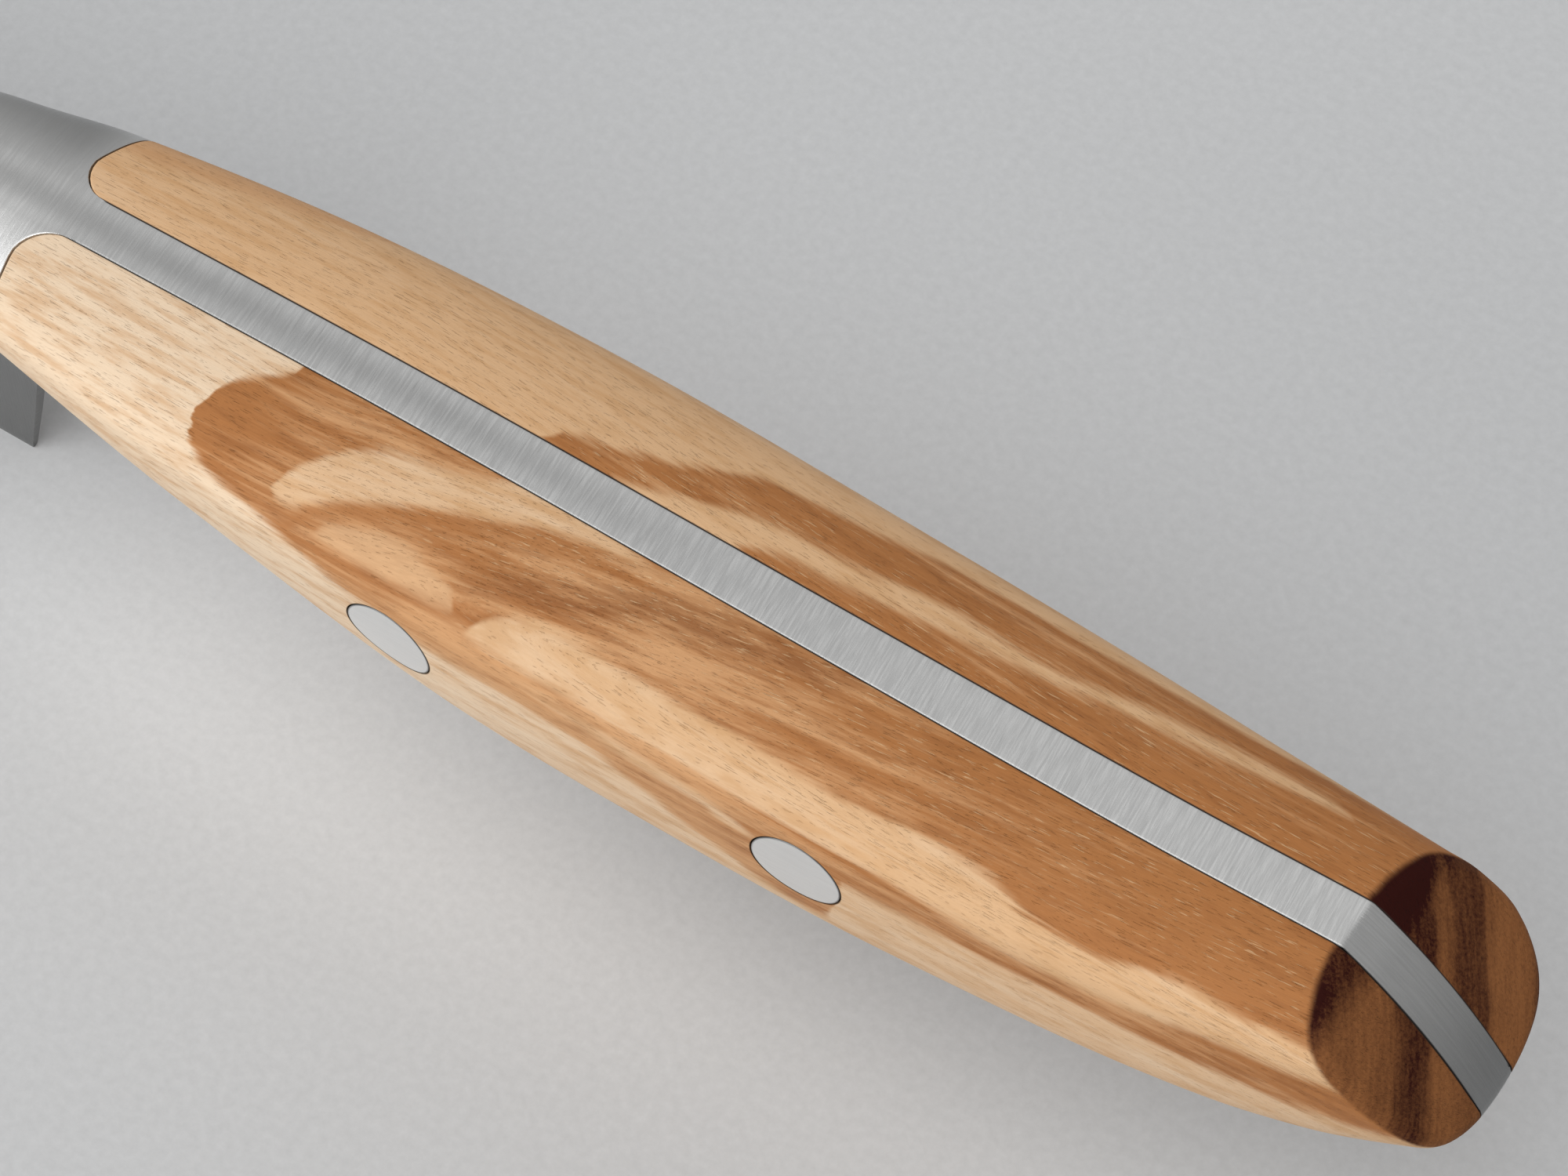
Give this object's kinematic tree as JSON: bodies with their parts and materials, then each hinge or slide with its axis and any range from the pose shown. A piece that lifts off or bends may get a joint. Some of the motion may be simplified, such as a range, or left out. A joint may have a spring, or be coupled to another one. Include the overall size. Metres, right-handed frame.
{
  "type": "paring knife",
  "caption": "Forged full-tang paring knife with a steel blade and bolster in one piece, wooden scales held by flush rivets, and an angled butt.",
  "frame": {"origin": "on the surface under the middle of the knife's outline, which stands on its cutting edge", "axes": "+X towards the point of the blade, +Y towards the left side, +Z from the cutting edge up to the spine"},
  "size_m": [0.185, 0.0198, 0.0265],
  "materials": {
    "forged_steel": "satin, brushed across the tang and along the blade",
    "left_olive_wood": "oiled olive wood, smooth",
    "right_olive_wood": "oiled olive wood, smooth",
    "rivet_steel": "satin"
  },
  "bodies": {
    "root": {"blade_forging": "forged_steel", "left_scale": "left_olive_wood", "right_scale": "right_olive_wood", "rivet_1_tube_half": "rivet_steel", "rivet_1_pin_half": "rivet_steel", "rivet_2_tube_half": "rivet_steel", "rivet_2_pin_half": "rivet_steel"}
  },
  "joints": []
}
